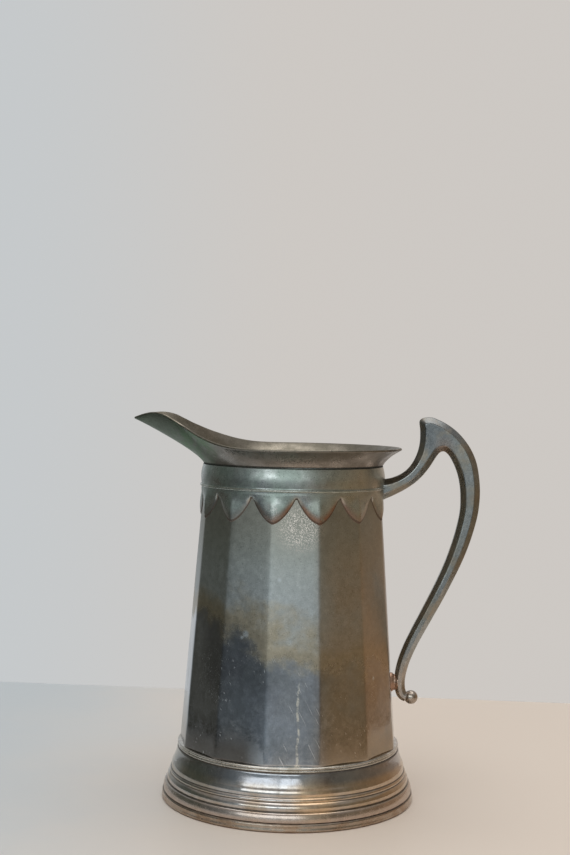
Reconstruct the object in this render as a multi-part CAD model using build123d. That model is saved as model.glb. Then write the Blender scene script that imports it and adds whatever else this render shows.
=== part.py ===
from build123d import *
from math import cos, pi, radians, sin
import os

# Panelled water pitcher. Millimetres, +Z up. The origin is the middle of the foot's underside,
# +X runs towards the handle and -X towards the spout.

# ---- main sizes ----------------------------------------------------------------------------
foot_height = 28.4            # to the ledge that the body stands on
body_height = 143.6           # the panelled drum
body_bottom_radius = 61.1     # to the arrises
body_top_radius = 50.3        # to the arrises
panel_count = 13              # one panel faces the handle, one arris faces the spout
body_wall = 1.2
floor_thickness = 1.6

body_bottom = foot_height
body_top = body_bottom + body_height
panel_angle = 360 / panel_count
flat_share = cos(pi / panel_count)      # a panel's middle is nearer the axis than its arrises

# ---- the collar ----------------------------------------------------------------------------
collar_rise = 13.2            # above the drum's top edge
bore_step = 0.45              # how far the collar's bore laps over the drum's top edge
band_stand = 0.7              # flat stretch that carries the bead, beyond the arrises
swell_stand = 1.1             # widest stretch of the convex band, beyond the arrises
scallop_stand = 0.6           # scallops, beyond the arrises
scallop_drop = 15.6           # scallops' points, below the drum's top edge
cusp_drop = 2.0               # where neighbouring scallops meet, below the drum's top edge
scallop_swell = 1.5           # how far each side of a scallop bows out from straight
bead_rise = 1.3
bead_radius = 0.7

collar_top = body_top + collar_rise
collar_bore = body_top_radius * flat_share - bore_step
collar_band_radius = body_top_radius + band_stand
collar_swell_radius = body_top_radius + swell_stand
collar_top_radius = collar_bore + 1.5
scallop_tip = body_top - scallop_drop
scallop_cusp = body_top - cusp_drop
collar_bead_height = body_top + bead_rise
cut_margin = 6.0              # cutting shapes run this far past what they cut

# ---- the lip and spout ---------------------------------------------------------------------
lip_flare = 10.6              # beyond the collar
lip_rise = 9.6                # rim above the collar, away from the spout
lip_wall = 1.4
spout_length = 30.0           # tip beyond the lip's rim
spout_tip_rise = 23.8         # above the collar
spout_edge_rise = 27.2        # highest stretch of the spout's edges, above the collar
beak_half_width = 19.4        # of the beak, a third of the way along

lip_radius = collar_top_radius + lip_flare
rim_height = collar_top + lip_rise
spout_reach = lip_radius + spout_length
spout_tip_height = collar_top + spout_tip_rise
beak_start = lip_radius - 8.5           # the beak leaves the lip's circle here

# ---- the foot ------------------------------------------------------------------------------
foot_spread = 8.9             # beyond the drum's arrises
foot_band_height = 4.4
foot_wall = 1.2
foot_top_stand = 0.9          # ledge beyond the arrises
shoulder_stand = 3.7          # under the ogee, beyond the arrises
band_width = 3.6
ledge_width = 5.0
wire_radius = 0.65            # each of the two reeds of the joint wire
wire_clearance = 0.05         # between the joint wire and the arrises

foot_radius = body_bottom_radius + foot_spread
foot_flange_radius = foot_radius - 0.8
foot_top_radius = body_bottom_radius + foot_top_stand
foot_shoulder_radius = body_bottom_radius + shoulder_stand

# ---- the handle ----------------------------------------------------------------------------
handle_reach = 52.6           # outermost point, beyond the collar
handle_rise = 27.7            # thumb-piece above the collar
handle_thickness = 10.0
handle_facet = 1.4            # chamfer that gives the eight-sided section
lug_rise = 36.6               # lug's middle, above the foot
lug_length = 3.0
lug_height = 10.6
lug_width = 8.0
ball_radius = 3.8
ball_drop = 8.0               # ball's middle, below the lug's
ball_stand = 8.4              # ball's middle, beyond the handle's inner face

handle_top = collar_top + handle_rise
lug_centre = body_bottom + lug_rise
ball_height = lug_centre - ball_drop


def turned(points):
    """A solid of revolution from (radius, height) points joined by straight lines."""
    with BuildPart() as made:
        with BuildSketch(Plane.XZ):
            with BuildLine():
                Polyline(*points, close=True)
            make_face()
        revolve(axis=Axis.Z)
    return made.part


def arris_radius(height):
    """Radius of the drum's outer arrises at a height."""
    share = (height - body_bottom) / body_height
    return body_bottom_radius + (body_top_radius - body_bottom_radius) * share


def drum(inset, low, high):
    """Tapered prism of the drum, its panels moved in by inset, between two heights."""
    corner = inset / flat_share
    ends = []
    for height in (low, high):
        flat = RegularPolygon(arris_radius(height) - corner, panel_count, rotation=panel_angle / 2)
        ends.append(Plane.XY.offset(height) * flat)
    return loft(ends, ruled=True)


def arch_cutter():
    """Prism that clears the space between two scallops on the panel facing +X."""
    half = arris_radius(scallop_tip) * sin(pi / panel_count) + scallop_stand
    cusp = Vector(0, scallop_cusp)
    bottom = scallop_tip - cut_margin
    with BuildPart() as made:
        with BuildSketch(Plane.YZ):
            with BuildLine():
                for side in (1, -1):
                    tip = Vector(side * half, scallop_tip)
                    across = (tip - cusp).normalized().rotate(Axis.Z, -90 * side)
                    ThreePointArc(cusp, (cusp + tip) / 2 + across * scallop_swell, tip)
                    Line(tip, (side * half, bottom))
                Line((half, bottom), (-half, bottom))
            make_face()
        extrude(amount=collar_swell_radius + cut_margin)
    return made.part


# ---- drum and floor ------------------------------------------------------------------------
drum_outside = drum(0, body_bottom, body_top)
drum_inside = drum(body_wall, body_bottom, body_top)
panelled_body = drum_outside - drum_inside

floor_plate = drum(body_wall, body_bottom, body_bottom + floor_thickness)

# ---- scalloped collar ----------------------------------------------------------------------
# A turned band with a convex upper part. Its lower edge is cut into pointed scallops, and its
# inside is let over the top of the drum.
swell_height = (collar_bead_height + collar_top) / 2 - 0.6
flat_half = 1.1               # half the height of the flat stretch under the bead
skirt_bottom = scallop_tip - 4
skirt_edge = (arris_radius(skirt_bottom) + scallop_stand, skirt_bottom)
band_low = (collar_band_radius, collar_bead_height - flat_half)
band_high = (collar_band_radius, collar_bead_height + flat_half)
swell_middle = (collar_swell_radius, swell_height)
with BuildPart() as collar_block:
    with BuildSketch(Plane.XZ):
        with BuildLine():
            Line((0, skirt_bottom), skirt_edge)
            Line(skirt_edge, band_low)
            Line(band_low, band_high)
            ThreePointArc(band_high, swell_middle, (collar_top_radius, collar_top))
            Line((collar_top_radius, collar_top), (0, collar_top))
            Line((0, collar_top), (0, skirt_bottom))
        make_face()
    revolve(axis=Axis.Z)
bore = Pos(0, 0, skirt_bottom) * Cylinder(
    collar_bore, collar_top - skirt_bottom, align=(Align.CENTER, Align.CENTER, Align.MIN))
scalloped_collar = collar_block.part - bore - drum_outside
arch = arch_cutter()
for panel in range(panel_count):
    scalloped_collar -= Rot(0, 0, panel * panel_angle) * arch

with BuildPart() as bead_ring:
    with BuildSketch(Plane.XZ):
        with Locations((collar_band_radius, collar_bead_height)):
            Circle(bead_radius)
        with Locations((collar_band_radius - bead_radius, collar_bead_height)):
            Rectangle(2 * bead_radius, 2 * bead_radius, mode=Mode.SUBTRACT)
    revolve(axis=Axis.Z)
collar_bead = bead_ring.part

# ---- lip and spout -------------------------------------------------------------------------
# Wall sections stand round the axis from the handle side to the spout, and a loft joins them.
# Along the beak, each one is set by a share of its length beyond the lip.
back_edge = 96                # azimuth where the rim starts to rise towards the spout
bend_out = 2.4                # the wall turns outward here, from the seam's outer edge
bend_up = 4.9
lip_sections = [(back_edge, lip_radius, rim_height)]
sweep_rise = 0.35             # share of the spout's rise that the rim gains before the beak
rise = collar_top + spout_edge_rise - rim_height
for azimuth, gained in ((104, 0.02), (112, 0.08), (120, 0.2), (128, 0.4), (136, 0.66), (142, 0.9)):
    lip_sections.append((azimuth, lip_radius, rim_height + rise * sweep_rise * gained))
beak_outline = ((0.09, 1.42, 0.46), (0.21, 1.15, 0.62), (0.34, 1.0, 0.8), (0.48, 0.88, 0.95),
                (0.61, 0.7, 1.0), (0.75, 0.48, 0.98), (0.88, 0.26, 0.92))
for along, wide, gained in beak_outline:
    out = beak_start + (spout_reach - beak_start) * along
    side = beak_half_width * wide
    point = Vector(-out, side)
    azimuth = Vector(1, 0).get_angle(point)
    lip_sections.append((azimuth, point.length, rim_height + rise * gained))
lip_sections.append((180, spout_reach, spout_tip_height))


def lip_wall_section(azimuth, reach, height):
    """Closed outline of the wall in the half plane at an azimuth, from the seam to the rim."""
    plane = Plane((0, 0, 0), x_dir=(cos(radians(azimuth)), sin(radians(azimuth)), 0),
                  z_dir=(sin(radians(azimuth)), -cos(radians(azimuth)), 0))
    root = Vector(collar_top_radius, collar_top)
    bend = Vector(collar_top_radius + bend_out, collar_top + bend_up)
    rim = Vector(reach, height)
    inward = (rim - bend).normalized().rotate(Axis.Z, 90) * lip_wall
    with BuildSketch(plane) as made:
        with BuildLine():
            Bezier(root, bend, rim)
            Line(rim, rim + inward)
            Bezier(rim + inward, bend + inward, Vector(collar_bore, collar_top))
            Line(Vector(collar_bore, collar_top), root)
        make_face()
    return made.sketch.face()


lip_back = revolve(lip_wall_section(-back_edge, lip_radius, rim_height), Axis.Z, 2 * back_edge)
lip_beak = loft([lip_wall_section(*section) for section in lip_sections], ruled=True)
lip_and_spout = lip_back + lip_beak + lip_beak.mirror(Plane.XZ)

# ---- foot ----------------------------------------------------------------------------------
# A spun skirt: ogee, two small beads, a groove and a flange. Its top is turned in as a ledge.
flange_low = foot_band_height + 0.4
groove_bottom = foot_band_height + 5.3
lower_bead_height = 3.7
upper_bead_height = 2.2
bead_gap = 0.5
lower_bead_low = groove_bottom + bead_gap
lower_bead_top = lower_bead_low + lower_bead_height
upper_bead_low = lower_bead_top + bead_gap
upper_bead_top = upper_bead_low + upper_bead_height
ogee_bottom = upper_bead_top + 0.2
ogee_height = body_bottom - ogee_bottom
ogee_spread = foot_shoulder_radius - foot_top_radius
step_out = foot_flange_radius - foot_shoulder_radius
ogee_points = [(foot_top_radius, body_bottom)]
for down, spread in ((0.4, 0.32), (0.72, 0.75), (1, 1)):
    ogee_points.append((foot_top_radius + ogee_spread * spread, body_bottom - ogee_height * down))
upper_bead = (foot_shoulder_radius + step_out * 0.07, upper_bead_top,
              foot_shoulder_radius + step_out * 0.2, upper_bead_low)
lower_bead = (foot_shoulder_radius + step_out * 0.25, lower_bead_top,
              foot_shoulder_radius + step_out * 0.52, lower_bead_low)
flange_top = (foot_shoulder_radius + step_out * 0.73, groove_bottom - 0.3)


def bead_arc(bead, swell):
    """Arc of a turned bead, bulging by swell between its upper and lower ends."""
    top = Vector(bead[0], bead[1])
    low = Vector(bead[2], bead[3])
    middle = (top + low) / 2 + (low - top).normalized().rotate(Axis.Z, 90) * swell
    return ThreePointArc(top, middle, low)


with BuildPart() as skirt:
    with BuildSketch(Plane.XZ):
        with BuildLine():
            ledge_inner = foot_top_radius - ledge_width
            Line((ledge_inner, body_bottom), ogee_points[0])
            Spline(*ogee_points)
            Line(ogee_points[-1], upper_bead[:2])
            bead_arc(upper_bead, 0.5)
            Line(upper_bead[2:], lower_bead[:2])
            bead_arc(lower_bead, 0.8)
            Line(lower_bead[2:], (lower_bead[2], groove_bottom))
            Line((lower_bead[2], groove_bottom), flange_top)
            Line(flange_top, (foot_flange_radius, flange_low))
            Line((foot_flange_radius, flange_low), (foot_flange_radius - 0.4, foot_band_height))
            inner_low = (foot_radius - band_width, foot_band_height)
            Line((foot_flange_radius - 0.4, foot_band_height), inner_low)
            inner_mid = (foot_shoulder_radius - foot_wall, ogee_bottom)
            Line(inner_low, inner_mid)
            inner_high = (foot_top_radius - foot_wall, body_bottom - foot_wall)
            Line(inner_mid, inner_high)
            Line(inner_high, (ledge_inner, body_bottom - foot_wall))
            Line((ledge_inner, body_bottom - foot_wall), (ledge_inner, body_bottom))
        make_face()
    revolve(axis=Axis.Z)
foot_skirt = skirt.part

band_edge = 0.5               # rounding of the band's corners, and the groove over it
foot_band = turned([
    (foot_radius - band_width, 0),
    (foot_radius - band_edge, 0),
    (foot_radius, band_edge),
    (foot_radius, foot_band_height - 2 * band_edge),
    (foot_radius - 2 * band_edge, foot_band_height),
    (foot_radius - band_width, foot_band_height),
])

wire_bore = body_bottom_radius + wire_clearance
with BuildPart() as wire:
    with BuildSketch(Plane.XZ):
        with Locations((wire_bore + wire_radius / 2, body_bottom + 2 * wire_radius)):
            Rectangle(wire_radius, 4 * wire_radius)
        for reed in (1, 3):
            with Locations((wire_bore + wire_radius, body_bottom + reed * wire_radius)):
                Circle(wire_radius)
    revolve(axis=Axis.Z)
joint_wire = wire.part - turned([
    (0, 0), (wire_bore, 0), (wire_bore, body_top), (0, body_top)])

# ---- handle --------------------------------------------------------------------------------
# A casting with an eight-sided section: its side outline is given thickness, then faceted.
# The outline is drawn on the sizes named drawn_... . Its upper part moves with the collar, and
# the grip is stretched between that and the lug.
drawn_lug_face = 58.7
drawn_lug_centre = 65.0
drawn_band = 51.0
drawn_reach = 52.6
drawn_shoulder = 165.0
drawn_top = 212.9
shoulder_drop = 7.0           # where the upper part starts, below the drum's top edge
shoulder = body_top - shoulder_drop
lug_face = arris_radius(lug_centre) * flat_share + lug_length
ball_out = lug_face + ball_stand


def on_handle(*points):
    """Points of the drawn outline, moved to where the lug, collar and grip are."""
    stretch = handle_reach / drawn_reach
    rise = (handle_top - shoulder) / (drawn_top - drawn_shoulder)
    placed = []
    for out, up in points:
        share = min(1, (up - drawn_lug_centre) / (drawn_shoulder - drawn_lug_centre))
        drawn_anchor = drawn_lug_face + (drawn_band - drawn_lug_face) * share
        anchor = lug_face + (collar_band_radius - lug_face) * share
        height = lug_centre + (shoulder - lug_centre) * share
        height += max(0, up - drawn_shoulder) * rise
        placed.append((anchor + (out - drawn_anchor) * stretch, height))
    return placed


root_height = 12.6
root_middle = body_top - 0.1
root_top = (collar_bore, root_middle + root_height / 2)
root_low = (collar_bore, root_middle - root_height / 2)
thumb_corner = on_handle((69.9, 211.2))[0]
grip_outside = on_handle((75.4, 212.9), (84.7, 209.3), (92.6, 202.8), (98.8, 194.6),
                         (102.6, 183.2), (103.6, 171.0), (102.0, 157.0), (97.1, 140.0),
                         (88.2, 119.8), (77.5, 99.4), (68.6, 81.5))
grip_inside = on_handle((82.9, 193.9), (87.7, 189.5), (91.6, 179.6), (93.0, 167.0),
                        (91.2, 153.0), (85.2, 133.0), (76.2, 112.7), (66.2, 92.3))
neck_under = on_handle((64.5, 173.8), (73.7, 182.5), (78.6, 190.0))
thumb_side = on_handle((70.0, 201.0), (66.5, 188.0), (59.5, 180.6))
scroll_outside = [(lug_face + 6.1, lug_centre + 1), (ball_out - 1.8, ball_height + 2.6)]
scroll_inside = [(lug_face, lug_centre + 1), (lug_face + 1.6, ball_height + 1.6),
                 (ball_out - 2.4, ball_height - 3.0)]

with BuildPart() as casting:
    with BuildSketch(Plane.XZ):
        with BuildLine():
            Spline(thumb_corner, *grip_outside, *scroll_outside)
            Line(scroll_outside[-1], scroll_inside[-1])
            Spline(scroll_inside[-1], *scroll_inside[-2::-1], *grip_inside[::-1],
                   *neck_under[::-1], root_low)
            Line(root_low, root_top)
            Spline(root_top, *thumb_side[::-1], thumb_corner)
        make_face()
    extrude(amount=handle_thickness / 2, both=True)
# Every long edge of the sides is faceted, one after another.
end_edge = 16                 # edges shorter than this end the casting and stay square
faceted = casting.part
side_faces = [face for face in faceted.faces() if abs(face.normal_at().Y) > 0.9]
long_edges = [edge for face in side_faces for edge in face.edges() if edge.length > end_edge]
for place in [edge.center() for edge in long_edges]:
    faceted = faceted.chamfer(handle_facet, None, faceted.edges().sort_by_distance(place)[:1])
ball = Pos(ball_out, 0, ball_height) * Sphere(ball_radius)
handle = faceted - scalloped_collar - collar_bead - drum_outside - ball

with BuildPart() as peg:
    with BuildSketch(Plane.YZ.offset(body_top_radius)):
        with Locations((0, lug_centre)):
            Ellipse(lug_width / 2, lug_height / 2)
    extrude(amount=lug_face + 2 - body_top_radius)
handle_lug = peg.part - drum_outside - handle

sub_parts = {
    "panelled_body": panelled_body,
    "floor_plate": floor_plate,
    "scalloped_collar": scalloped_collar,
    "collar_bead": collar_bead,
    "lip_and_spout": lip_and_spout,
    "foot_skirt": foot_skirt,
    "foot_band": foot_band,
    "joint_wire": joint_wire,
    "handle": handle,
    "handle_lug": handle_lug,
    "scroll_ball": ball,
}
os.makedirs("parts", exist_ok=True)
for name, shape in sub_parts.items():
    export_step(shape, f"parts/{name}.step")
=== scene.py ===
from math import atan2, cos, pi, radians, sin, tan

import bmesh
import bpy
from mathutils import Matrix, Vector


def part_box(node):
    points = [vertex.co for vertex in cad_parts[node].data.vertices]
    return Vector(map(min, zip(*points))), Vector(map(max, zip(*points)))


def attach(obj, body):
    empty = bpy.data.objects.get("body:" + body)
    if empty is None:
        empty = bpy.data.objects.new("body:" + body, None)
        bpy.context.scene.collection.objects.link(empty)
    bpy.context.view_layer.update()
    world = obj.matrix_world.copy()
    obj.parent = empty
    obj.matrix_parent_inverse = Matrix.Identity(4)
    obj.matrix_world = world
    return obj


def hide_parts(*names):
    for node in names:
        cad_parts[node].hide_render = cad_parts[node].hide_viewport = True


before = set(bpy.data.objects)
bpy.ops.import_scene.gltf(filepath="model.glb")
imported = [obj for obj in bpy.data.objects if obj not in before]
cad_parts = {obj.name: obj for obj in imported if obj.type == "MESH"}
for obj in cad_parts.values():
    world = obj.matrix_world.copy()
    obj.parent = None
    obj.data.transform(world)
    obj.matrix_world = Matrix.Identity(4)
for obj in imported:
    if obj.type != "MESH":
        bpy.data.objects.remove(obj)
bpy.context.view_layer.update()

# ---- The body --------------------------------------------------------------------------------
# A tapered drum of thirteen flat panels in silver-plated base metal. The plate has gone matt
# and grey-green above and is still mirror-like below. The drum is soldered to the foot, and its
# top goes up into the collar.
mm = 0.001
panels = 13
panel_angle = 2 * pi / panels
flat_share = cos(pi / panels)
body_low, body_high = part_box("panelled_body")
body_height = body_high.z - body_low.z
body_wall = 1.2 * mm
arris_bevel = 1.0 * mm
arris_low = -body_low.x
arris_high = max(corner.co.xy.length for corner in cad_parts["panelled_body"].data.vertices
                 if corner.co.z > body_high.z - mm)


def open_up(piece, kind):
    """Goes into edit mode on a piece, with nothing selected."""
    bpy.ops.object.select_all(action="DESELECT")
    bpy.context.view_layer.objects.active = piece
    piece.select_set(True)
    bpy.ops.object.mode_set(mode="EDIT")
    bpy.ops.mesh.select_mode(type=kind)
    bpy.ops.mesh.select_all(action="DESELECT")


def pick(piece, kind, wanted):
    """Selects the corners, edges or faces of an open piece that a test picks."""
    mesh = bmesh.from_edit_mesh(piece.data)
    for item in getattr(mesh, kind):
        if wanted(item):
            item.select_set(True)
    bmesh.update_edit_mesh(piece.data)


def upright(edge):
    """True for an edge that goes up the body rather than round it."""
    low, high = (corner.co for corner in edge.verts)
    return abs(high.z - low.z) > 0.5 * (high - low).length


def close_up(piece, bend=40):
    """Merges doubles, turns every face outward and shades the piece smooth up to an angle."""
    bpy.ops.mesh.select_all(action="SELECT")
    bpy.ops.mesh.remove_doubles(threshold=0.002 * mm)
    bpy.ops.mesh.normals_make_consistent(inside=False)
    bpy.ops.object.mode_set(mode="OBJECT")
    bpy.ops.object.shade_smooth_by_angle(angle=radians(bend))


def apply_modifiers(piece):
    """Makes every modifier of a piece part of its mesh."""
    bpy.context.view_layer.objects.active = piece
    for modifier in list(piece.modifiers):
        bpy.ops.object.modifier_apply(modifier=modifier.name)


def hammered(piece, depth, spread):
    """Leaves the slight unevenness of hand work on a surface."""
    unevenness = bpy.data.textures.new(piece.name + "_unevenness", "CLOUDS")
    unevenness.noise_scale = spread
    unevenness.noise_depth = 2
    dents = piece.modifiers.new("unevenness", "DISPLACE")
    dents.texture = unevenness
    dents.texture_coords = "LOCAL"
    dents.strength = depth
    dents.mid_level = 0.5


bpy.ops.object.select_all(action="DESELECT")
bpy.ops.mesh.primitive_cone_add(
    vertices=panels, radius1=arris_low, radius2=arris_high, depth=body_height,
    end_fill_type="NOTHING", location=(0, 0, (body_low.z + body_high.z) / 2),
    rotation=(0, 0, panel_angle / 4))
body = bpy.context.object
body.name = "body_panels"
bpy.ops.object.transform_apply(location=True, rotation=True, scale=True)
open_up(body, "EDGE")
pick(body, "edges", upright)
bpy.ops.mesh.bevel(offset=arris_bevel, segments=3, profile=0.5, affect="EDGES")
bpy.ops.mesh.select_all(action="DESELECT")
pick(body, "edges", lambda edge: not upright(edge) and edge.calc_length() > 5 * mm)
bpy.ops.mesh.subdivide(number_cuts=9)
bpy.ops.mesh.select_all(action="DESELECT")
pick(body, "edges", upright)
bpy.ops.mesh.subdivide(number_cuts=35)
close_up(body, 30)
# The panels are very slightly crowned across, as raised work is.
panel_crown = 0.2 * mm
for corner in body.data.vertices:
    across = atan2(corner.co.y, corner.co.x) % panel_angle / panel_angle
    across = min(across, 1 - across) * 2
    out = 1 + panel_crown * (1 - across ** 2) / corner.co.xy.length
    corner.co.x *= out
    corner.co.y *= out
hammered(body, 0.16 * mm, 26 * mm)
wall = body.modifiers.new("wall", "SOLIDIFY")
wall.thickness = body_wall
wall.offset = -1
apply_modifiers(body)


def lay(tree, kind, inputs=None, **looks):
    """Adds a node with its looks set, and its inputs filled or linked by name or number."""
    made = tree.nodes.new("ShaderNode" + kind)
    for name, value in looks.items():
        setattr(made, name, value)
    for key, value in (inputs or {}).items():
        if isinstance(value, bpy.types.NodeSocket):
            tree.links.new(value, made.inputs[key])
        else:
            made.inputs[key].default_value = value
    return made


def grain(tree, place, size, detail=4, rough=0.55, stretch=(1, 1, 1)):
    """Noise of a given grain size in metres, from about 0 to 1."""
    drawn = lay(tree, "Mapping", {"Vector": place, "Scale": stretch})
    noise = lay(tree, "TexNoise", {"Vector": drawn.outputs[0], "Scale": 1 / size,
                                   "Detail": detail, "Roughness": rough})
    return noise.outputs["Fac"]


def fade(tree, value, start, end, low=0.0, high=1.0):
    """Goes smoothly from low to high as value goes from start to end."""
    ramp = lay(tree, "MapRange", {"Value": value, "From Min": start, "From Max": end,
                                  "To Min": low, "To Max": high},
               interpolation_type="SMOOTHSTEP")
    return ramp.outputs["Result"]


def reckon(tree, operation, first, second=0.0):
    """One step of arithmetic on two values."""
    return lay(tree, "Math", {0: first, 1: second}, operation=operation).outputs[0]


def together(tree, first, *others):
    """The product of several shares."""
    for share in others:
        first = reckon(tree, "MULTIPLY", first, share)
    return first


def off(tree, value, middle):
    """How far a value is from a middle one, to either side."""
    return reckon(tree, "ABSOLUTE", reckon(tree, "SUBTRACT", value, middle))


def coat(tree, share, below, above):
    """Colour above laid over colour below, by a share."""
    def filled(colour):
        return colour if isinstance(colour, bpy.types.NodeSocket) else (*colour, 1)
    mix = lay(tree, "Mix", {0: share, 6: filled(below), 7: filled(above)}, data_type="RGBA")
    return mix.outputs[2]


class WornPlate:
    """Silver plate with clouds of tarnish, fine pits and rubbed spots. Stains are laid over it."""

    def __init__(self, name, clean, dull, clouds=22 * mm, dull_from=0.36, dull_to=0.64,
                 gloss=0.2, matt=0.42, pits=0.5, mottling=0.07):
        self.material = bpy.data.materials.new(name)
        self.material.use_nodes = True
        tree = self.tree = self.material.node_tree
        self.shader = tree.nodes["Principled BSDF"]
        self.shader.inputs["Metallic"].default_value = 1.0
        self.place = lay(tree, "TexCoord").outputs["Object"]
        self.x, self.y, self.z = lay(tree, "SeparateXYZ", {0: self.place}).outputs
        self.clouds = grain(tree, self.place, clouds, 5, 0.6)
        self.mottle = grain(tree, self.place, 3.2 * mm, 5, 0.65)
        self.fine = grain(tree, self.place, 0.55 * mm, 2, 0.5)
        dulled = fade(tree, self.clouds, dull_from, dull_to)
        self.colour = coat(tree, dulled, clean, dull)
        self.rough = fade(tree, self.clouds, dull_from, dull_to, gloss, matt)
        self.pits, self.mottling = pits, mottling

    def stain(self, share, colour, rough=None, strength=1.0):
        """Lays a colour over the plate by a share, and a roughness with it if one is given."""
        if strength < 1:
            share = reckon(self.tree, "MULTIPLY", share, strength)
        self.colour = coat(self.tree, share, self.colour, colour)
        if rough is not None:
            mix = lay(self.tree, "Mix", {0: share, 2: self.rough, 3: rough}, data_type="FLOAT")
            self.rough = mix.outputs[0]

    def near(self, x, y, z, reach, core=0.3):
        """Share that is 1 round a place given in millimetres and fades out at reach."""
        away = lay(self.tree, "VectorMath", {0: self.place, 1: (x * mm, y * mm, z * mm)},
                   operation="DISTANCE").outputs["Value"]
        return fade(self.tree, away, reach * mm, core * reach * mm)

    def finish(self, bump=0.25, depth=0.05 * mm):
        """Adds the mottle and the pits, and links everything to the shader."""
        tree = self.tree
        mottled = fade(tree, self.mottle, 0.34, 0.68, 1 - self.mottling, 1 + self.mottling)
        dark_speck = fade(tree, self.fine, 0.58, 0.70, 1.0, 1 - 0.5 * self.pits)
        light_speck = fade(tree, self.fine, 0.40, 0.29, 1.0, 1 + 0.45 * self.pits)
        shade = together(tree, mottled, dark_speck, light_speck)
        grey = lay(tree, "CombineColor", {0: shade, 1: shade, 2: shade}).outputs[0]
        toned = lay(tree, "Mix", {0: 1.0, 6: self.colour, 7: grey},
                    data_type="RGBA", blend_type="MULTIPLY")
        rougher = fade(tree, self.mottle, 0.3, 0.7, -0.03, 0.04)
        rough = reckon(tree, "ADD", self.rough, rougher)
        height = reckon(tree, "ADD", self.fine, reckon(tree, "MULTIPLY", self.mottle, 1.4))
        raised = lay(tree, "Bump", {"Strength": fade(tree, rough, 0.1, 0.4, 0.2 * bump, bump),
                                    "Distance": depth, "Height": height})
        tree.links.new(toned.outputs[2], self.shader.inputs["Base Color"])
        tree.links.new(rough, self.shader.inputs["Roughness"])
        tree.links.new(raised.outputs[0], self.shader.inputs["Normal"])
        return self.material


# Outside: a matt grey-green bloom above, a fringe of brown where it stops, and bare plate below
# with a painted reflection: a dark violet cast for the dark room it mirrors. The bloom reaches
# lower on the handle's side, which is browner, partly from tarnish and partly by a painted warm
# reflection.
outside = WornPlate("body_plate", (0.48, 0.51, 0.55), (0.41, 0.43, 0.45), gloss=0.1, matt=0.17)
tree = outside.tree
ragged = reckon(tree, "MULTIPLY", reckon(tree, "SUBTRACT", outside.clouds, 0.5), 50 * mm)
tilted = fade(tree, outside.x, -34 * mm, 34 * mm, -12 * mm, 11 * mm)
level = reckon(tree, "ADD", reckon(tree, "ADD", outside.z, ragged), tilted)
front = fade(tree, outside.y, 0.0, -10 * mm)
# Painted reflection: bare plate just below the bloom, left of the middle, is painted dark violet
# for the dark room it mirrors.
violet = together(tree, fade(tree, level, 45 * mm, 75 * mm),
                  fade(tree, outside.x, 4 * mm, -6 * mm, 0.1, 0.9),
                  fade(tree, outside.x, -47 * mm, -37 * mm))
outside.stain(violet, (0.25, 0.26, 0.28))
smoke = fade(tree, grain(tree, outside.place, 13 * mm, 5, 0.6, (1, 1, 0.6)), 0.42, 0.62, 0.0, 0.6)
outside.stain(smoke, (0.30, 0.32, 0.33))
# Painted reflection: low on the body the plate is painted nearly black for the dark room it
# mirrors, except a strip down the middle that keeps the window's reflection.
painted_dark_reflection = together(tree, fade(tree, outside.z, 56 * mm, 36 * mm),
                 fade(tree, off(tree, outside.x, 4 * mm), 12 * mm, 24 * mm))
outside.stain(painted_dark_reflection, (0.135, 0.12, 0.105), strength=0.95)
scratched = lay(tree, "Mapping", {"Vector": outside.place, "Rotation": (0, radians(-28), 0),
                                  "Scale": (1, 1, 30)}, vector_type="TEXTURE").outputs[0]
scratches = together(tree, fade(tree, grain(tree, scratched, 0.7 * mm, 1), 0.68, 0.74),
                     fade(tree, outside.clouds, 0.46, 0.58))
outside.stain(scratches, (0.72, 0.72, 0.74), 0.4, strength=0.7)
bloom = fade(tree, level, 80 * mm, 102 * mm)
fringe = together(tree, fade(tree, level, 80 * mm, 94 * mm), fade(tree, level, 112 * mm, 96 * mm))
outside.stain(bloom, (0.47, 0.50, 0.50), 0.34)
outside.stain(fringe, (0.46, 0.37, 0.23), 0.3, strength=0.7)
green = fade(tree, outside.z, 108 * mm, 160 * mm)
outside.stain(green, (0.36, 0.38, 0.33), 0.42, strength=0.75)
# Painted shade: the front of the drum is darkened upwards towards the scallops that overhang it.
painted_shade_under_scallops = together(tree, fade(tree, outside.z, 128 * mm, 165 * mm), front)
outside.stain(painted_shade_under_scallops, (0.32, 0.31, 0.265), strength=0.85)
# The handle's side is browner, partly from tarnish and partly as a painted warm reflection of the
# room on that side.
brown = together(tree, fade(tree, outside.x, 14 * mm, 30 * mm),
                 fade(tree, outside.clouds, 0.3, 0.6, 0.55, 1.0),
                 fade(tree, outside.z, 125 * mm, 160 * mm, 1.0, 0.4))
outside.stain(brown, (0.44, 0.34, 0.23), strength=0.7)
# A run of hard water down the front panel, with a drop at its end, and a grainy patch under the
# scallops.
wandering = fade(tree, outside.clouds, 0.3, 0.7, 10.6 * mm, 9.0 * mm)
water_run = together(tree, fade(tree, off(tree, outside.x, wandering), 0.9 * mm, 0.2 * mm),
                     fade(tree, outside.z, 85 * mm, 60 * mm),
                     fade(tree, outside.mottle, 0.42, 0.6, 0.15, 0.75), front)
outside.stain(water_run, (0.74, 0.71, 0.62), 0.4)
outside.stain(outside.near(9.6, -58.5, 31, 2.2), (0.95, 0.92, 0.86), 0.3)
grainy = together(tree, outside.near(9, -50, 154, 17), fade(tree, outside.fine, 0.5, 0.62))
outside.stain(grainy, (0.85, 0.76, 0.68), 0.25)
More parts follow.
